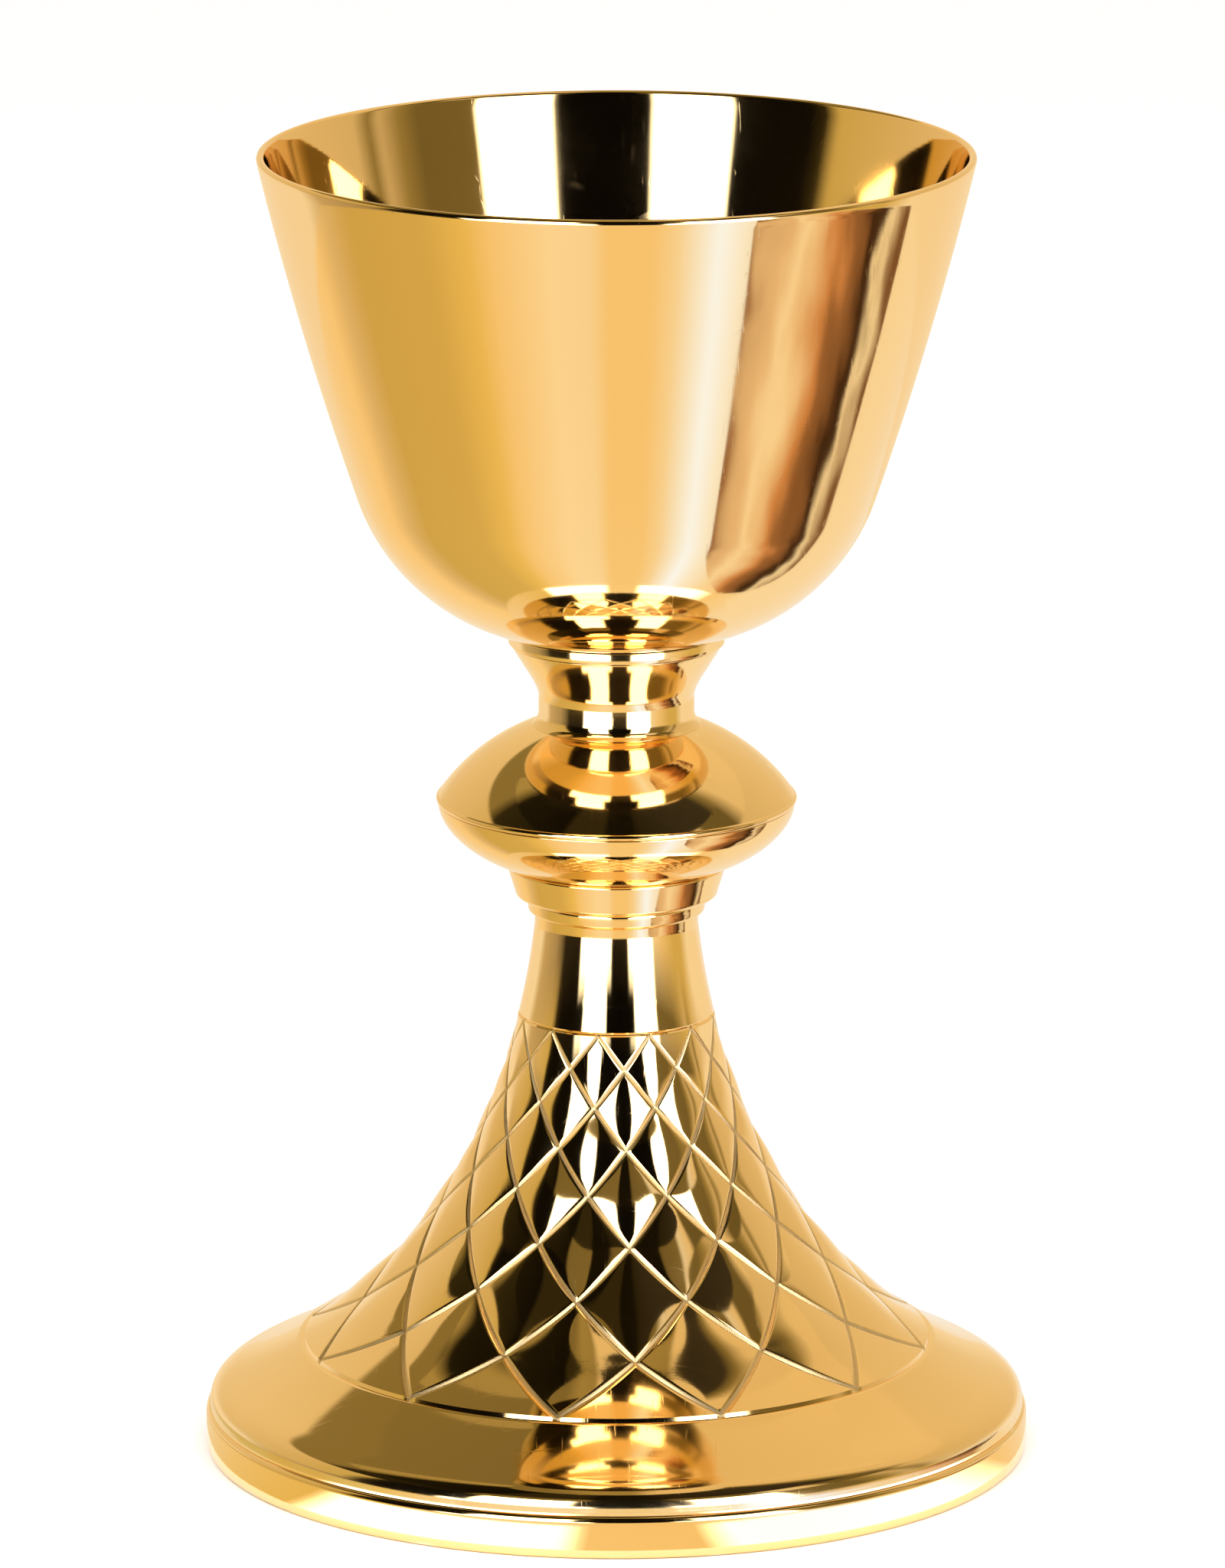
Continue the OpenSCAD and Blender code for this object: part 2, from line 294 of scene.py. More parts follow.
def threaded_coupling():
    z0, z1 = low("stem_coupling"), high("stem_coupling")
    z_head, head_r = z1 - HEAD_H, wide("stem_coupling")
    sink = 0.5 * MM
    body = [[SHANK_R, z0], [SHANK_R, z_head], [head_r, z_head], [head_r, z1]]
    mouth = [[TAPPED_R + sink, z1]]
    bore = rows(TAPPED_R, z1 - sink, z0 + sink, PITCH / 12)
    outline = np.concatenate([softened(np.array(body)), mouth, bore, [[TAPPED_R + sink, z0]]])
    shape = inner_thread(TAPPED_R)
    return lathe("threaded_coupling", outline, "base", "stem_coupling", shape, 96, 50)


def knop_upper_shell():
    z0, z1, knop_r = low("knop_upper"), high("knop_upper"), wide("knop_lower")
    bead_r = 0.5 * MM
    neck, edge = np.array([NECK_R, z1]), np.array([knop_r - 0.1 * MM, z0 + 2 * bead_r])
    outside = bezier(neck, neck + point(6.7, -2.6), edge + point(-3, 4.25), edge, 90)
    inside = beside(outside, SHEET)
    lining = inside[(inside[:, 1] < z1 - SHEET) & (inside[:, 1] > z0)]
    bead = arc([knop_r - bead_r / 2, z0 + bead_r], bead_r, math.radians(70), -math.pi / 2, 18)
    seam = [[knop_r - SHEET, z0]]
    plate = [[SHANK_HOLE_R, z1 - SHEET], [SHANK_HOLE_R, z1]]
    outline = np.concatenate([outside, bead, seam, lining[::-1], plate])
    return lathe("knop_upper_shell", softened(outline, 0.06 * MM), "base", "knop_upper")


def knop_lower_shell():
    z0, knop_r = low("knop_lower"), wide("knop_lower")
    z_seam = low("knop_upper")
    rest, edge = np.array([16.2 * MM, z0]), np.array([knop_r, z_seam])
    outside = bezier(rest, rest + point(6.3, 2), edge + point(-0.1, -3.6), edge, 64)
    inside = beside(outside, -SHEET)
    lining = inside[(inside[:, 1] > z0 + SHEET) & (inside[:, 1] < z_seam - 1.2 * MM)]
    lip_r, z_lip = knop_r - SHEET - 0.4 * MM, high("knop_lower")
    lip = [[lip_r, z_seam], [lip_r, z_lip], [lip_r - 0.9 * MM, z_lip], [lip_r - 0.9 * MM, z_seam - 1 * MM]]
    floor = [[lining[0][0], z0 + SHEET], [TAPPED_R, z0 + SHEET], [TAPPED_R, z0]]
    outline = np.concatenate([outside, lip, lining[::-1], floor])
    return lathe("knop_lower_shell", softened(outline, 0.08 * MM), "base", "knop_lower")


def plain_ring(name, node, inner_r, body="base", edge=EDGE, segments=96):
    """A tube or washer with its edges broken."""
    z0, z1, outer_r = low(node), high(node), wide(node)
    corners = np.array([[outer_r, z0], [outer_r, z1], [inner_r, z1], [inner_r, z0]])
    return lathe(name, softened(corners, edge), body, node, segments=segments)


def moulded_collar():
    """Collar tapering down to a rounded lower edge."""
    z0, z1, outer_r, round_r = low("lower_collar"), high("lower_collar"), wide("lower_collar"), 0.9 * MM
    lower_edge = arc([outer_r - 1.2 * MM - round_r, z0 + round_r], round_r, 0, -math.pi / 2, 16)
    corners = [[TAPPED_R, z1], [outer_r - 0.3 * MM, z1], [outer_r, z1 - 0.3 * MM]]
    outline = np.concatenate([corners, lower_edge, [[TAPPED_R, z0]]])
    return lathe("moulded_collar", softened(outline, 0.2 * MM), "base", "lower_collar")


def rounded_ring():
    z0, z1, round_r = low("lower_ring"), high("lower_ring"), 0.6 * MM
    round_at = wide("lower_ring") - round_r
    lower_edge = arc([round_at, z0 + round_r], round_r, -math.pi / 2, 0, 12)
    upper_edge = arc([round_at, z1 - round_r], round_r, 0, math.pi / 2, 12)
    outline = np.concatenate([[[TAPPED_R, z0]], lower_edge, upper_edge, [[TAPPED_R, z1]]])
    return lathe("rounded_ring", outline, "base", "lower_ring")


# ---------------------------------------------------------------- foot
COLUMNS = 12
ROWS = 8
ROW_GROWTH = 1.112
LATTICE_TURN = math.radians(-10.8)
LATTICE_TOP = 67.6 * MM
LATTICE_FOOT = 17.4 * MM
SWELL = 0.06
CELL_STEPS = [0, 0.018, 0.036, 0.055, 0.08, 0.115, 0.16, 0.21, 0.27, 0.34, 0.42]
CELL_STEPS = np.array(CELL_STEPS + [0.5] + [1 - t for t in reversed(CELL_STEPS)])


class Trumpet:
    """The foot's outer surface, addressed by the distance run down it from the neck."""

    def __init__(self):
        z_ring, z_hem = high("foot"), low("foot")
        rim_r = wide("foot_rim")
        neck = np.array([12.4 * MM, z_ring - 1.8 * MM])
        brow = np.array([rim_r - 4.7 * MM, z_hem + 4.8 * MM])
        corner = np.array([rim_r - 0.6 * MM, z_hem + 0.8 * MM])
        hem = np.array([rim_r - 0.5 * MM, z_hem])
        flare = bezier(neck, neck - point(-3.9, 35.7), brow + point(-22.3, 10.3), brow, 600)
        shoulder = bezier(brow, brow + point(2.6, -1.2), corner + point(-0.05, 1.9), corner, 160)
        collar = np.stack([np.full(13, neck[0]), np.linspace(z_ring, neck[1], 13)], 1)
        brim = np.linspace(corner, hem, 12)
        self.curve = np.concatenate([collar, flare[1:], shoulder[1:], brim[1:]])
        steps = np.linalg.norm(np.diff(self.curve, axis=0), axis=1)
        self.run = np.concatenate([[0], np.cumsum(steps)])
        self.side = headings(self.curve)

    def run_at_height(self, z):
        return float(np.interp(-z, -self.curve[:, 1], self.run))

    def at(self, run, depth=0.0):
        """(radius, height) at a run, sunk into the metal by a depth."""
        place = [np.interp(run, self.run, self.curve[:, k]) for k in (0, 1)]
        heading = [np.interp(run, self.run, self.side[:, k]) for k in (0, 1)]
        return np.array([place[0] + depth * heading[1], place[1] - depth * heading[0]])


class Lattice:
    """Diamond cells between two rings. p counts half columns round, w counts rows down."""

    def __init__(self, trumpet):
        self.trumpet = trumpet
        self.start = trumpet.run_at_height(LATTICE_TOP)
        self.end = trumpet.run_at_height(LATTICE_FOOT)

    def run(self, w):
        share = (ROW_GROWTH**w - 1) / (ROW_GROWTH**ROWS - 1)
        return self.start + (self.end - self.start) * share

    def turn(self, p):
        return LATTICE_TURN + math.pi / COLUMNS * p

    def cell_size(self, w):
        """Distance between a diamond's opposite sides at row w."""
        half_wide = self.trumpet.at(self.run(w))[0] * math.pi / COLUMNS
        half_tall = self.run(w + 0.5) - self.run(w - 0.5)
        return 2 * half_wide * half_tall / math.hypot(half_wide, half_tall)

    def groove(self, w):
        """(half width, depth) of the engraved lines at row w."""
        share = w / ROWS
        return (0.32 + 0.18 * share) * MM, (0.15 + 0.09 * share) * MM

    def cut(self, fa, fb, w, triangle):
        """How far into an engraved line a place (fa, fb) of a cell lies: 1 in the middle, 0 outside."""
        edges = {"top": (1 - fa, 1 - fb), "foot": (fa, fb)}.get(triangle, (fa, 1 - fa, fb, 1 - fb))
        return max(0.0, 1 - min(edges) * self.cell_size(w) / self.groove(w)[0])

    def depth(self, fa, fb, w, triangle):
        """Depth below the trumpet's surface: cells swell between sunken edges."""
        swell = 0 if triangle else 16 * fa * (1 - fa) * fb * (1 - fb)
        bed = SWELL * self.cell_size(w) * min(1.0, w, ROWS - w)
        return bed * (1 - swell**0.8) + self.groove(w)[1] * self.cut(fa, fb, w, triangle)


class FootNet:
    """The foot's vertices and faces, and how far each vertex lies in an engraved line."""

    def __init__(self, lattice):
        self.lattice = lattice
        self.verts, self.lookup, self.faces, self.engraving = [], {}, [], []

    def vertex(self, p, row, place, cut=0.0):
        """One vertex for each half-column place p, on a named row."""
        key = (round(p % (2 * COLUMNS), 5) % (2 * COLUMNS), row)
        if key not in self.lookup:
            self.lookup[key] = len(self.verts)
            self.verts.append(on_turn(place[0], place[1], np.array(self.lattice.turn(p))))
            self.engraving.append(cut)
        return self.lookup[key]

    def cell_vertex(self, a0, b0, i, j, triangle):
        """Vertex (i, j) of the cell whose top corner is (a0, b0) along the two sets of lines."""
        lattice = self.lattice
        fa, fb = CELL_STEPS[i], CELL_STEPS[j]
        p, w = (a0 + fa) - (b0 + fb), (a0 + fa) + (b0 + fb)
        place = lattice.trumpet.at(lattice.run(w), lattice.depth(fa, fb, w, triangle))
        return self.vertex(p, round(w, 5), place, lattice.cut(fa, fb, w, triangle))

    def add_cell(self, a0, b0, triangle):
        """A diamond, or its lower half under the top ring, or its upper half over the foot ring."""
        last = len(CELL_STEPS) - 1
        for i in range(last):
            for j in range(last):
                ring = [(i, j), (i + 1, j), (i + 1, j + 1), (i, j + 1)]
                if triangle == "top":
                    ring = [c for c in ring if sum(c) >= last]
                elif triangle == "foot":
                    ring = [c for c in ring if sum(c) <= last]
                if len(ring) > 2:
                    self.faces.append([self.cell_vertex(a0, b0, i, j, triangle) for i, j in ring])

    def add_plain(self, outline, lining):
        """The plain metal, a band of faces between each two points. Returns the faces of the lining."""
        spread = [2 * (c + t) for c in range(COLUMNS) for t in CELL_STEPS]
        ring_p = sorted({round(p % (2 * COLUMNS), 5) for p in spread})
        names = [float(ROWS)] + [f"plain{k}" for k in range(len(outline))] + [0.0]
        places = [None] + outline + [None]
        inside_faces = set()
        for k in range(len(names) - 1):
            for m, p in enumerate(ring_p):
                q = ring_p[(m + 1) % len(ring_p)]
                corners = [(p, k), (q, k), (q, k + 1), (p, k + 1)]
                if k - 1 in lining:
                    inside_faces.add(len(self.faces))
                self.faces.append([self.vertex(s, names[n], places[n]) for s, n in corners])
        return inside_faces


def plain_outline(trumpet, lattice):
    """From the lattice round the hem, up the inside and back down to it. Also where the lining is."""
    groove_top, groove_foot = lattice.groove(0), lattice.groove(ROWS)
    hem_run, ring_run = trumpet.run[-1], 0.0
    hem, crest = trumpet.at(hem_run), trumpet.at(ring_run)
    below = np.linspace(lattice.end + 2.2 * groove_foot[0], hem_run - 0.3 * MM, 64)
    above = np.linspace(ring_run + 0.2 * MM, lattice.start - 2 * groove_top[0], 32)
    outer = [trumpet.at(lattice.end + groove_foot[0], groove_foot[1] + 0.1 * MM)]
    outer += [trumpet.at(s) for s in below]
    outer += [hem - point(0.1, 0), hem - point(0.4, 0)]
    lining = [trumpet.at(s, SHEET) for s in np.linspace(hem_run, ring_run, 90)]
    neck = [crest - point(0.2, 0)]
    neck += [trumpet.at(s) for s in above]
    neck += [trumpet.at(lattice.start - groove_top[0], groove_top[1] + 0.08 * MM)]
    return outer + lining + neck, range(len(outer), len(outer) + len(lining))


def engraved_foot():
    """The foot's mesh, and which of its faces line the inside."""
    trumpet = Trumpet()
    lattice = Lattice(trumpet)
    net = FootNet(lattice)
    for row in range(ROWS + 1):
        triangle = {0: "top", ROWS: "foot"}.get(row, "")
        for column in range(COLUMNS):
            p = 2 * column + (row + 1) % 2
            net.add_cell((row + p - 1) / 2, (row - p - 1) / 2, triangle)
    inside_faces = net.add_plain(*plain_outline(trumpet, lattice))
    piece = make_object("engraved_foot", net.verts, net.faces, "base", "foot", sharp_deg=30)
    cuts = piece.data.attributes.new("engraving", "FLOAT", "POINT")
    cuts.data.foreach_set("value", net.engraving)
    return piece, inside_faces


def moulded_rim():
    outer_r, z1 = wide("foot_rim"), high("foot_rim")
    inner_r, land_r, floor = outer_r - 1.8 * MM, outer_r - 5.5 * MM, 1.4 * MM
    toe = bezier(point(0, 0), point(0.45, 0), point(0.9, 0.5), point(0.9, 1.6), 12)
    heel = bezier(point(0.9, -1.1), point(0.9, -0.5), point(0.6, -0.1), point(0.1, 0), 12)
    band = np.concatenate([toe + [outer_r - 0.9 * MM, 0], heel + [outer_r - 0.9 * MM, z1]])
    corners = [[inner_r, z1], [inner_r, floor], [land_r, floor], [land_r, 0]]
    outline = np.concatenate([band, corners])
    return lathe("moulded_rim", softened(outline), "base", "foot_rim", segments=384)


# ---------------------------------------------------------------- tie rod and fasteners
def threaded_rod():
    z0, z1, tip_r = low("tie_rod"), high("tie_rod"), STUD_R - ROD_TIP
    wall = rows(STUD_R, z0 + ROD_TIP, z1 - ROD_TIP, PITCH / 12)
    outline = np.concatenate([[[0, z0], [tip_r, z0]], wall, [[tip_r, z1], [0, z1]]])
    shape = outer_thread(STUD_R)
    return lathe("threaded_rod", outline, "base", "tie_rod", shape, 72, 50)


def chamfered_nut():
    z0, z1 = low("hex_nut"), high("hex_nut")
    flats_r = 6.5 * MM
    face_r = 0.95 * flats_r
    sink = 0.5 * MM
    fall = math.tan(math.radians(30))
    corner_r = flats_r / math.cos(math.pi / 6)
    steps = 10
    out = np.linspace(face_r, corner_r, steps)
    top = np.stack([out, z1 - (out - face_r) * fall], 1)
    bore = rows(TAPPED_R, z0 + sink, z1 - sink, PITCH / 12)
    foot_side = np.stack([out[::-1], z0 + (out[::-1] - face_r) * fall], 1)
    outline = np.concatenate([[[TAPPED_R + sink, z1]], top, foot_side, [[TAPPED_R + sink, z0]], bore])
    bore_shape = inner_thread(TAPPED_R)

    def shape(r, z, turn):
        hexagon = flats_r / np.cos((turn + math.pi / 6) % (math.pi / 3) - math.pi / 6)
        return np.where(r > face_r + 1e-7, np.minimum(r, hexagon), bore_shape(r, z, turn))

    return lathe("chamfered_nut", outline, "base", "hex_nut", shape, 192, 25)


def split_washer():
    """Spring washer with a slit at the back, so its box is only full width front to back."""
    z0, z1, inner_r = low("lock_washer"), high("lock_washer"), 4.15 * MM
    outer_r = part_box("lock_washer")[1].y
    slit = 0.6 * MM / outer_r
    section = softened(np.array([[outer_r, z0], [outer_r, z1], [inner_r, z1], [inner_r, z0]]), 0.25 * MM)
    turn = np.linspace(math.pi / 2 + slit, math.pi / 2 + 2 * math.pi - slit, 120)
    verts, faces, n = [], [], len(section)
    for t in turn:
        verts.extend(on_turn(section[:, 0], section[:, 1], np.full(n, t)))
    for k in range(len(turn) - 1):
        for i in range(n):
            j = (i + 1) % n
            faces.append((k * n + i, k * n + j, (k + 1) * n + j, (k + 1) * n + i))
    faces.append(tuple(range(n)))
    faces.append(tuple(range((len(turn) - 1) * n, len(turn) * n)))
    return make_object("split_washer", verts, faces, "base", "lock_washer")


# ---------------------------------------------------------------- materials
GOLD = (1.0, 0.73, 0.36)
DEEP_GOLD = (0.97, 0.67, 0.29)
WORN = (0.98, 0.82, 0.55)
ENGRAVED = (0.74, 0.56, 0.30)
HEM_EDGE = 7.4 * MM
WORN_BAND = 1.8 * MM


class Nodes:
    """A small helper that adds nodes to a material and links them."""

    def __init__(self, name):
        self.material = bpy.data.materials.new(name)
        self.material.use_nodes = True
        self.tree = self.material.node_tree
        self.shader = self.tree.nodes["Principled BSDF"]
        self.coords = self.add("ShaderNodeTexCoord").outputs["Object"]

    def add(self, kind, settings=None, inputs=None):
        node = self.tree.nodes.new(kind)
        for key, value in (settings or {}).items():
            setattr(node, key, value)
        for key, value in (inputs or {}).items():
            if isinstance(value, bpy.types.NodeSocket):
                self.tree.links.new(value, node.inputs[key])
            else:
                node.inputs[key].default_value = value
        return node

    def noise(self, vector, scale, detail=3.0, roughness=0.5):
        inputs = {"Vector": vector, "Scale": scale, "Detail": detail, "Roughness": roughness}
        return self.add("ShaderNodeTexNoise", None, inputs).outputs["Fac"]

    def remap(self, value, low_in, high_in, low_out, high_out):
        inputs = {"Value": value, 1: low_in, 2: high_in, 3: low_out, 4: high_out}
        return self.add("ShaderNodeMapRange", {"clamp": True}, inputs).outputs["Result"]

    def maths(self, operation, a, b=0.0):
        return self.add("ShaderNodeMath", {"operation": operation}, {0: a, 1: b}).outputs[0]

    def around_axis(self):
        """(radius, height, 0), so that a noise over it makes turned lines."""
        flat = self.add("ShaderNodeVectorMath", {"operation": "MULTIPLY"}, {0: self.coords})
        flat.inputs[1].default_value = (1, 1, 0)
        radius = self.add("ShaderNodeVectorMath", {"operation": "LENGTH"}, {0: flat.outputs[0]})
        height = self.add("ShaderNodeSeparateXYZ", None, {0: self.coords}).outputs["Z"]
        inputs = {"X": radius.outputs["Value"], "Y": height}
        return self.add("ShaderNodeCombineXYZ", None, inputs).outputs[0]

    def stretched(self, scale, turn=(0, 0, 0)):
        inputs = {"Vector": self.coords, "Scale": scale, "Rotation": turn}
        return self.add("ShaderNodeMapping", None, inputs).outputs[0]

    def bump(self, height, strength, distance, normal=None):
        inputs = {"Height": height, "Strength": strength, "Distance": distance}
        if normal is not None:
            inputs["Normal"] = normal
        return self.add("ShaderNodeBump", None, inputs).outputs["Normal"]

    def mix(self, factor, a, b):
        node = self.add("ShaderNodeMix", {"data_type": "RGBA"}, {"Factor": factor})
        for key, value in ((6, a), (7, b)):
            if isinstance(value, bpy.types.NodeSocket):
                self.tree.links.new(value, node.inputs[key])
            else:
                node.inputs[key].default_value = (*value, 1)
        return node.outputs[2]

    def finish(self, colour, roughness, normal, metallic=1.0):
        self.shader.inputs["Metallic"].default_value = metallic
        self.tree.links.new(colour, self.shader.inputs["Base Color"])
        self.tree.links.new(roughness, self.shader.inputs["Roughness"])
        self.tree.links.new(normal, self.shader.inputs["Normal"])
        return self.material


def gilt(name, smooth, dull, spin, engraved=False):
    """Polished gilding: handling haze, hairlines, turned lines, paler worn edges and satin engraving."""
    n = Nodes(name)
    haze = n.noise(n.coords, 38, 4, 0.6)
    cloud = n.noise(n.coords, 11, 2)
    turned = n.noise(n.around_axis(), 2600, 2, 0.7)
    hair_a = n.noise(n.stretched((2400, 70, 240), (0.3, 0.5, 0.7)), 1.0, 2)
    hair_b = n.noise(n.stretched((60, 2100, 300), (0.9, 0.2, -0.4)), 1.0, 2)
    hairs = n.maths("MAXIMUM", n.remap(hair_a, 0.66, 0.72, 0, 1), n.remap(hair_b, 0.67, 0.73, 0, 1))
    if engraved:
        height = n.add("ShaderNodeSeparateXYZ", None, {0: n.coords}).outputs["Z"]
        sharp = n.remap(height, HEM_EDGE, HEM_EDGE + WORN_BAND, 1, 0)
    else:
        sharp = n.remap(n.add("ShaderNodeNewGeometry").outputs["Pointiness"], 0.52, 0.60, 0, 1)
    wear = n.maths("MULTIPLY", sharp, n.remap(haze, 0.4, 0.6, 0.2, 1))
    colour = n.mix(n.remap(cloud, 0.35, 0.7, 0, 1), GOLD, DEEP_GOLD)
    colour = n.mix(wear, colour, WORN)
    roughness = n.maths("ADD", n.remap(haze, 0.35, 0.75, smooth, dull), n.maths("MULTIPLY", hairs, 0.05))
    roughness = n.maths("ADD", roughness, n.maths("MULTIPLY", wear, 0.08))
    if engraved:
        engraving = n.add("ShaderNodeAttribute", {"attribute_name": "engraving"})
        cut = n.remap(engraving.outputs["Fac"], 0, 0.3, 0, 1)
        colour = n.mix(cut, colour, ENGRAVED)
        roughness = n.maths("ADD", roughness, n.maths("MULTIPLY", cut, 0.36))
    normal = n.bump(n.noise(n.coords, 60, 1), 0.06, 0.0004)
    normal = n.bump(turned, spin, 0.00002, normal)
    normal = n.bump(hairs, 0.10, 0.00001, normal)
    return n.finish(colour, roughness, normal)


def plain_metal(name, bright, deep, smooth, dull, turned_strength):
    """Unplated turned metal: visible tool lines and a mottled tarnish."""
    n = Nodes(name)
    mottle = n.noise(n.coords, 160, 5, 0.65)
    turned = n.noise(n.around_axis(), 1500, 3, 0.8)
    colour = n.mix(n.remap(mottle, 0.35, 0.68, 0, 1), bright, deep)
    roughness = n.remap(mottle, 0.3, 0.75, smooth, dull)
    normal = n.bump(turned, turned_strength, 0.00004)
    normal = n.bump(n.noise(n.coords, 900, 3), 0.12, 0.00003, normal)
    return n.finish(colour, roughness, normal)


def matt_stage(name, colour):
    n = Nodes(name)
    grain = n.noise(n.coords, 400, 2)
    tone = n.mix(grain, colour, tuple(c * 0.985 for c in colour))
    normal = n.bump(grain, 0.02, 0.0002)
    return n.finish(tone, n.remap(grain, 0, 1, 0.85, 0.95), normal, 0.0)


def dress():
    """Makes the pieces and gives each its material."""
    cup_gilt = gilt("gilt_cup_polish", 0.035, 0.09, 0.05)
    turned_gilt = gilt("gilt_turned_polish", 0.04, 0.10, 0.10)
    knop_gilt = gilt("gilt_knop_polish", 0.04, 0.10, 0.06)
    foot_gilt = gilt("gilt_foot_polish", 0.04, 0.10, 0.04, engraved=True)
    rim_gilt = gilt("gilt_rim_polish", 0.04, 0.11, 0.08)
    inside_gilt = plain_metal("gilt_inside_satin", (0.86, 0.60, 0.25), (0.66, 0.42, 0.15), 0.28, 0.5, 0.5)
    brass = plain_metal("bare_brass_turned", (0.80, 0.62, 0.33), (0.62, 0.45, 0.20), 0.22, 0.42, 0.5)
    zinc = plain_metal("zinc_plate", (0.72, 0.73, 0.74), (0.55, 0.57, 0.60), 0.28, 0.5, 0.25)

    foot, inside_faces = engraved_foot()
    made = {
        cup_gilt: [spun_cup()],
        turned_gilt: [loose_collar(), waisted_stem(), moulded_collar(), rounded_ring()],
        knop_gilt: [knop_upper_shell(), knop_lower_shell()],
        foot_gilt: [foot],
        rim_gilt: [moulded_rim()],
        brass: [
            turned_boss(),
            threaded_stud(),
            threaded_coupling(),
            plain_ring("knop_spacer", "knop_sleeve", SHANK_R + 0.1 * MM),
            plain_ring("bored_cap", "foot_cap", TAPPED_R),
        ],
        zinc: [
            threaded_rod(),
            plain_ring("plain_washer", "clamp_washer", TAPPED_R + 0.15 * MM, edge=0.3 * MM),
            split_washer(),
            chamfered_nut(),
        ],
    }
    for material, pieces in made.items():
        for piece in pieces:
            piece.data.materials.append(material)
    foot.data.materials.append(inside_gilt)
    for index in inside_faces:
        foot.data.polygons[index].material_index = 1


# ---------------------------------------------------------------- studio
BRIGHTEST = 6.0
WHITE = (1.0, 1.0, 1.0)
GOLDEN = (1.0, 0.77, 0.28)
AMBER = (1.0, 0.80, 0.48)
PALE = (1.0, 0.92, 0.80)
SAND = (1.0, 0.76, 0.56)
RUST = (1.0, 0.48, 0.22)
COOL = (1.0, 1.12, 1.5)
ICE = (1.0, 1.30, 2.3)
ROOM_R = 1.6
ROOF_Z = 1.9
PIT_Z = -0.7
TABLE_R = 0.46
TABLE_Z = 0.0006


def stage_object(name, verts, faces, material):
    mesh = bpy.data.meshes.new(name)
    mesh.from_pydata([tuple(v) for v in verts], [], faces)
    mesh.materials.append(material)
    thing = bpy.data.objects.new(name, mesh)
    bpy.context.scene.collection.objects.link(thing)
    return thing


def sky_material(name, factor_from, ramps, heights=None):
    """A light whose colour runs along one or more ramps. Heights say where each next ramp takes over."""
    n = Nodes(name)
    n.tree.nodes.remove(n.shader)
    factor = factor_from(n)
    colours = []
    for ramp in ramps:
        node = n.add("ShaderNodeValToRGB", None, {"Fac": factor})
        elements = node.color_ramp.elements
        elements.remove(elements[1])
        for k, (place, level, tint) in enumerate(ramp):
            element = elements[0] if k == 0 else elements.new(place)
            element.position = place
            element.color = (*(min(1.0, level * c / BRIGHTEST) for c in tint), 1)
        colours.append(node.outputs["Color"])
    colour = colours[0]
    for k, (z_from, z_to) in enumerate(heights or []):
        z = n.add("ShaderNodeSeparateXYZ", None, {0: n.coords}).outputs["Z"]
        node = n.add("ShaderNodeMix", {"data_type": "RGBA"}, {"Factor": n.remap(z, z_from, z_to, 0, 1)})
        n.tree.links.new(colour, node.inputs[6])
        n.tree.links.new(colours[k + 1], node.inputs[7])
        colour = node.outputs[2]
    light = n.add("ShaderNodeEmission", None, {"Color": colour, "Strength": BRIGHTEST})
    n.tree.links.new(light.outputs[0], n.tree.nodes["Material Output"].inputs["Surface"])
    return n.material


def by_turn(n):
    """0 to 1 for a turn of -180 to 180 degrees from the front."""
    place = n.add("ShaderNodeSeparateXYZ", None, {0: n.coords})
    back = n.maths("MULTIPLY", place.outputs["Y"], -1.0)
    turn = n.add("ShaderNodeMath", {"operation": "ARCTAN2"}, {0: place.outputs["X"], 1: back})
    return n.remap(turn.outputs[0], -math.pi, math.pi, 0, 1)


def across_room(n):
    """0 to 1 from the room's left wall to its right wall."""
    x = n.add("ShaderNodeSeparateXYZ", None, {0: n.coords}).outputs["X"]
    return n.remap(x, -ROOM_R, ROOM_R, 0, 1)


def turns(stops):
    return [((degrees + 180) / 360, level, tint) for degrees, level, tint in stops]


def only_reflected(thing):
    """A studio card that the metal reflects and nothing else sees."""
    thing.visible_camera = False
    thing.visible_diffuse = False
    thing.visible_transmission = False
    thing.visible_shadow = False


def card(name, turn_from, turn_to, one_edge, other_edge, material):
    """A card curved round the object between two edges, each a radius and a height.

    Turns are in degrees from the front, to the right.
    """
    steps = int(abs(turn_to - turn_from) / 3)
    turn = np.radians(np.linspace(turn_from, turn_to, steps + 1))
    verts = [on_turn(r, z, np.array(t)) for t in turn for r, z in (one_edge, other_edge)]
    faces = [(2 * k, 2 * k + 2, 2 * k + 3, 2 * k + 1) for k in range(steps)]
    only_reflected(stage_object(name, verts, faces, material))


# Light by turn from the front, in degrees to the right: (turn, level, tint). The level is the
# brightness that the metal mirrors. Over 1 it is a softbox, or the table that a softbox lights.
TABLE_RAMP = turns(
    [
        (-180, 0.95, PALE),
        (-122, 0.97, AMBER),
        (-110, 0.75, AMBER),
        (-98, 0.65, GOLDEN),
        (-65, 0.69, GOLDEN),
        (-50, 0.85, GOLDEN),
        (-42, 0.95, AMBER),
        (-22, 0.99, PALE),
        (-9, 0.96, PALE),
        (-3, 0.95, AMBER),
        (12, 0.95, AMBER),
        (20, 0.95, PALE),
        (27, 0.96, COOL),
        (34, 0.98, ICE),
        (43, 0.98, COOL),
        (60, 0.96, PALE),
        (80, 0.95, AMBER),
        (105, 0.97, PALE),
        (180, 0.95, PALE),
    ]
)
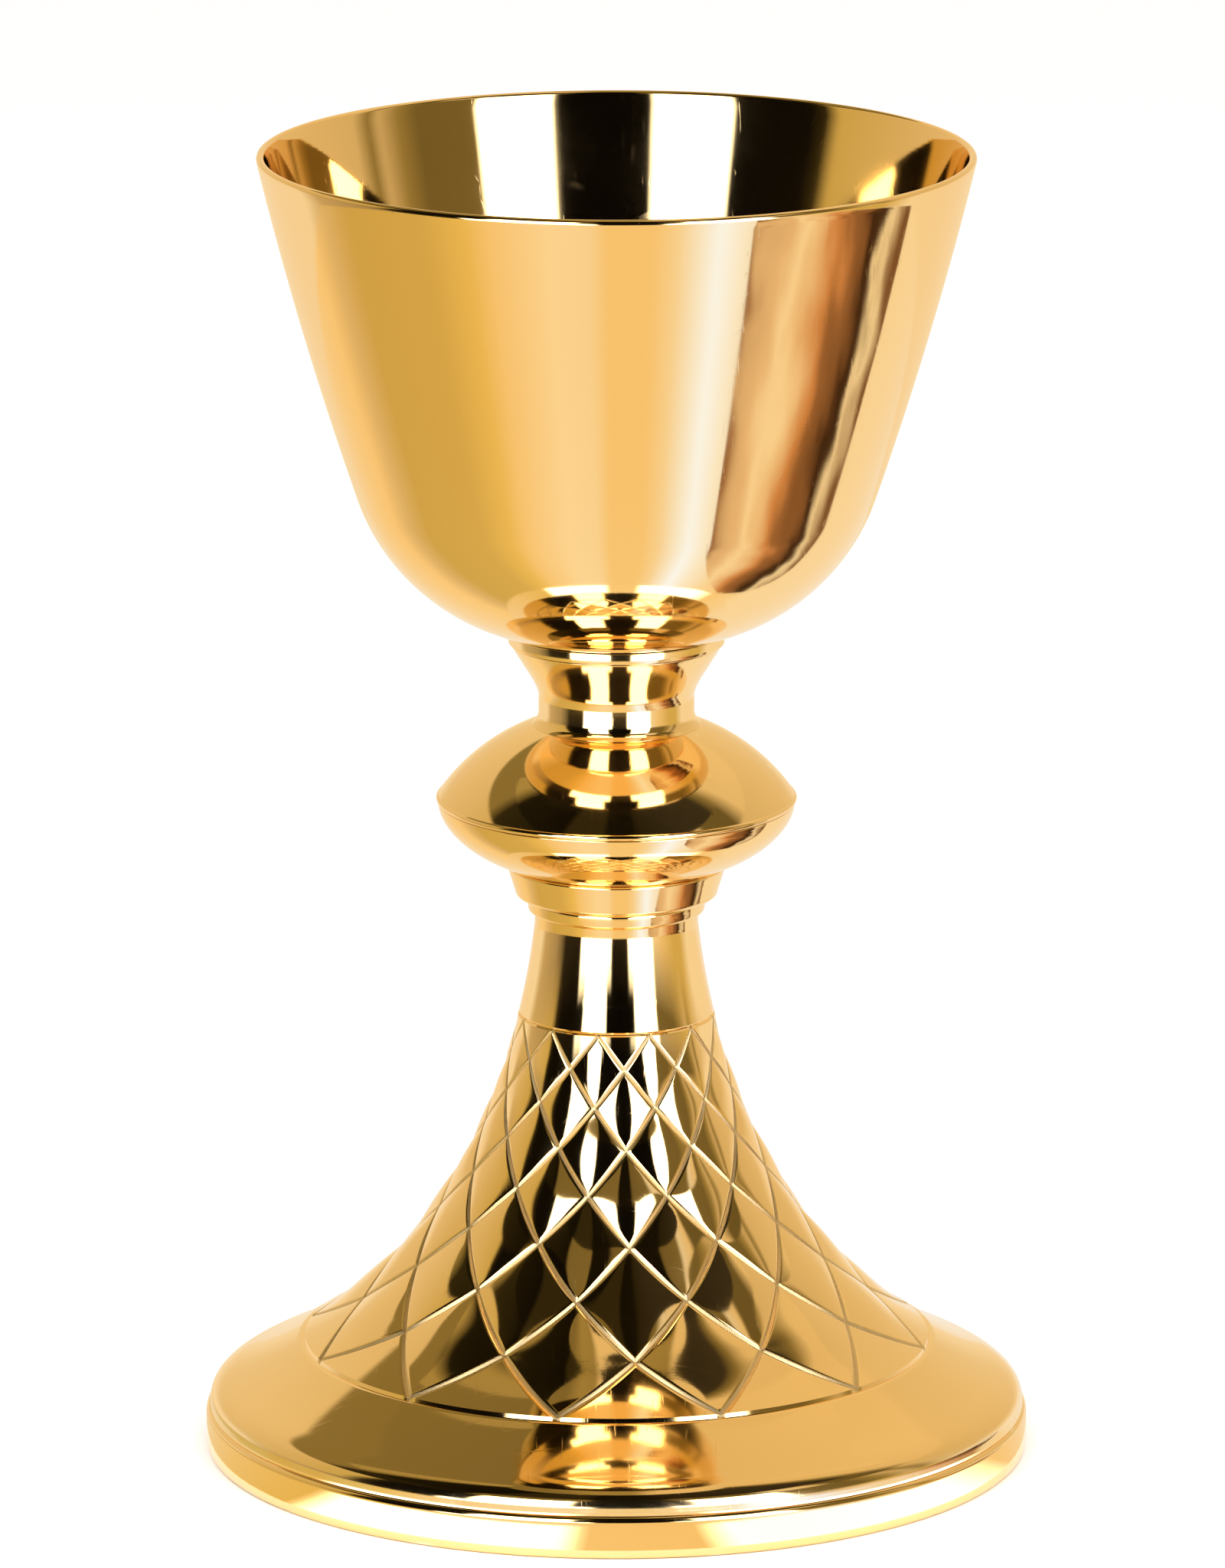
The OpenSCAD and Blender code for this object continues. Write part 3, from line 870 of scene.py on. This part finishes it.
LOW_WALL_RAMP = turns(
    [
        (-180, 0.95, AMBER),
        (-125, 0.95, PALE),
        (-114, 0.60, AMBER),
        (-90, 0.42, AMBER),
        (-80, 0.20, AMBER),
        (-74, 0.03, AMBER),
        (-50, 0.02, AMBER),
        (-48, 6.0, WHITE),
        (-8, 6.0, WHITE),
        (-6, 0.02, AMBER),
        (15, 0.03, AMBER),
        (17, 6.0, WHITE),
        (49, 6.0, WHITE),
        (52, 0.93, PALE),
        (64, 0.89, AMBER),
        (84, 0.68, GOLDEN),
        (98, 0.68, GOLDEN),
        (112, 0.95, PALE),
        (180, 0.95, AMBER),
    ]
)
HIGH_WALL_RAMP = turns(
    [
        (-180, 0.9, AMBER),
        (-125, 0.75, AMBER),
        (-82, 0.62, GOLDEN),
        (-76, 0.03, GOLDEN),
        (-70, 0.006, AMBER),
        (-42, 0.004, AMBER),
        (-39, 6.0, WHITE),
        (-14, 6.0, WHITE),
        (-12, 0.003, AMBER),
        (21, 0.003, AMBER),
        (24, 6.0, WHITE),
        (48, 6.0, WHITE),
        (50, 0.19, GOLDEN),
        (72, 0.18, GOLDEN),
        (80, 0.32, GOLDEN),
        (88, 0.62, AMBER),
        (93, 0.28, GOLDEN),
        (100, 0.7, AMBER),
        (180, 0.9, AMBER),
    ]
)
NEAR_TABLE_RAMP = turns(
    [
        (-180, 0.95, PALE),
        (-90, 0.90, AMBER),
        (-54, 0.82, GOLDEN),
        (-48, 3.2, WHITE),
        (-9, 3.2, WHITE),
        (-5, 0.97, AMBER),
        (13, 0.97, AMBER),
        (18, 3.2, WHITE),
        (60, 3.2, WHITE),
        (76, 0.97, AMBER),
        (120, 0.95, PALE),
        (180, 0.95, PALE),
    ]
)
TOP_WALL_RAMP = turns(
    [
        (-180, 0.30, GOLDEN),
        (-165, 0.26, GOLDEN),
        (-110, 0.26, GOLDEN),
        (-100, 0.03, GOLDEN),
        (-49, 0.008, GOLDEN),
        (-45, 0.19, GOLDEN),
        (-10, 0.21, GOLDEN),
        (-7, 0.008, GOLDEN),
        (15, 0.008, GOLDEN),
        (19, 0.16, GOLDEN),
        (46, 0.20, GOLDEN),
        (52, 0.80, PALE),
        (66, 0.80, AMBER),
        (72, 0.15, GOLDEN),
        (96, 0.15, GOLDEN),
        (110, 0.8, AMBER),
        (165, 0.9, AMBER),
        (180, 0.30, GOLDEN),
    ]
)
OVERHEAD_RAMP = turns(
    [
        (-180, 0.4, AMBER),
        (-112, 0.40, GOLDEN),
        (-98, 0.012, GOLDEN),
        (-48, 0.006, GOLDEN),
        (-42, 0.03, GOLDEN),
        (-13, 0.03, GOLDEN),
        (-8, 0.006, GOLDEN),
        (15, 0.006, GOLDEN),
        (22, 0.02, GOLDEN),
        (50, 0.03, AMBER),
        (88, 0.04, AMBER),
        (98, 0.25, GOLDEN),
        (110, 0.8, AMBER),
        (180, 0.8, AMBER),
    ]
)
# Light across the room: (place from the left wall to the right, level, tint).
CEILING_RAMP = [
    (0.0, 0.95, PALE),
    (0.06, 0.90, PALE),
    (0.09, 0.25, GOLDEN),
    (0.40, 0.22, GOLDEN),
    (0.46, 0.36, GOLDEN),
    (0.53, 0.34, GOLDEN),
    (0.56, 0.80, AMBER),
    (1.0, 0.90, AMBER),
]


def reflections():
    """What the metal mirrors: a graded table, two tall softboxes in a dark room, and a dim ceiling."""
    table_light = sky_material("graded_table", by_turn, [TABLE_RAMP])
    near_light = sky_material("near_table", by_turn, [NEAR_TABLE_RAMP])
    wall_ramps = [LOW_WALL_RAMP, HIGH_WALL_RAMP, TOP_WALL_RAMP]
    wall_heights = [(0.0, 0.25), (1.20, 1.26)]
    walls = sky_material("softbox_wall", by_turn, wall_ramps, wall_heights)
    roof = sky_material("graded_ceiling", across_room, [CEILING_RAMP])
    overhead = sky_material("overhead", by_turn, [OVERHEAD_RAMP])
    below = sky_material("dark_floor", by_turn, [LOW_WALL_RAMP])
    card("table_glow", -180, 180, (0.07, TABLE_Z), (TABLE_R, TABLE_Z), table_light)
    card("table_by_foot", -180, 180, (0.064, 0.0009), (0.079, 0.0009), near_light)
    card("softboxes", -180, 180, (ROOM_R, PIT_Z), (ROOM_R, ROOF_Z), walls)
    card("ceiling", -180, 180, (0.0, ROOF_Z), (ROOM_R, ROOF_Z), roof)
    card("dark_overhead", -125, 125, (0.5, 1.85), (1.58, 1.85), overhead)
    card("under_table", -180, 180, (0.5, PIT_Z), (ROOM_R, PIT_Z), below)


def warm_neighbour():
    """A warm thing beside the object on the right, seen only as a reflection with a rounded end."""
    stripes = turns(
        [
            (46, 0.30, RUST),
            (50, 0.72, SAND),
            (56, 0.82, SAND),
            (63, 0.97, PALE),
            (70, 0.85, SAND),
            (77, 0.66, RUST),
            (83, 0.33, RUST),
            (89, 0.24, RUST),
            (94, 0.05, RUST),
            (98, 0.07, RUST),
            (101, 0.92, PALE),
            (106, 0.45, SAND),
            (110, 0.20, RUST),
        ]
    )

    def wavering_turn(n):
        return n.maths("ADD", by_turn(n), n.remap(n.noise(n.coords, 14, 2), 0.3, 0.7, -0.014, 0.014))

    middle, half_wide, r_near, r_far = 78, 33, 0.082, 0.455
    rounded_share, steps = 0.22, 24
    verts = []
    for share in np.linspace(0, 1, steps + 1):
        spread = half_wide * math.sqrt(1 - (1 - min(1.0, share / rounded_share)) ** 2)
        ring = np.radians(np.linspace(middle - spread, middle + spread, steps + 1))
        verts += [on_turn(r_near + share * (r_far - r_near), 0.0012, np.array(t)) for t in ring]
    stride = steps + 1
    starts = [row * stride + k for row in range(steps) for k in range(steps)]
    faces = [(k, k + 1, k + 1 + stride, k + stride) for k in starts]
    material = sky_material("warm_stripes", wavering_turn, [stripes])
    only_reflected(stage_object("warm_neighbour", verts, faces, material))


def pale_floor():
    """The pale floor. Past the table only the camera and the soft light see it."""
    pale = matt_stage("pale_floor_paper", (0.9, 0.9, 0.9))
    inner, outer = TABLE_R, 6.0
    ring = np.radians(np.arange(0, 360, 5))
    near = [on_turn(inner, 0.0, np.array(t)) for t in ring]
    far = [on_turn(outer, 0.0, np.array(t)) for t in ring]
    n = len(ring)
    stage_object("floor_near", near, [tuple(range(n))], pale)
    sides = [(k, (k + 1) % n, n + (k + 1) % n, n + k) for k in range(n)]
    stage_object("floor_far", near + far, sides, pale).visible_glossy = False


def lamps():
    """Three soft lamps for the floor. The metal doesn't mirror them."""
    stands = [("key_right", 40, 0.9, 5), ("key_left", -40, 0.9, 5), ("top", 0, 1.4, 6)]
    for name, turn, height, power in stands:
        lamp = bpy.data.lights.new(name, "AREA")
        lamp.size = 0.8
        lamp.energy = power
        stand = bpy.data.objects.new(name, lamp)
        stand.location = on_turn(0.9, height, np.radians(turn))
        stand.rotation_mode = "QUATERNION"
        stand.rotation_quaternion = (-stand.location).to_track_quat("-Z", "Y")
        stand.visible_glossy = False
        stand.visible_camera = False
        bpy.context.scene.collection.objects.link(stand)


def studio():
    scene = bpy.context.scene
    world = bpy.data.worlds.new("pale_studio")
    world.use_nodes = True
    world.node_tree.nodes["Background"].inputs["Color"].default_value = (1, 1, 1, 1)
    world.node_tree.nodes["Background"].inputs["Strength"].default_value = 1.0
    scene.world = world
    scene.view_settings.view_transform = "Standard"
    pale_floor()
    lamps()
    reflections()
    warm_neighbour()


def camera():
    height = high("cup")
    data = bpy.data.cameras.new("camera")
    data.sensor_width = 36
    data.lens = 284.9
    data.clip_end = 20
    view = bpy.data.objects.new("camera", data)
    distance = 9.116 * height
    rise = 2.683 * height
    view.location = (-0.0006, -distance, rise)
    view.rotation_euler = (math.radians(90 - 13.37), 0, 0)
    bpy.context.scene.collection.objects.link(view)
    bpy.context.scene.camera = view


camera()
studio()
dress()

bpy.context.view_layer.update()
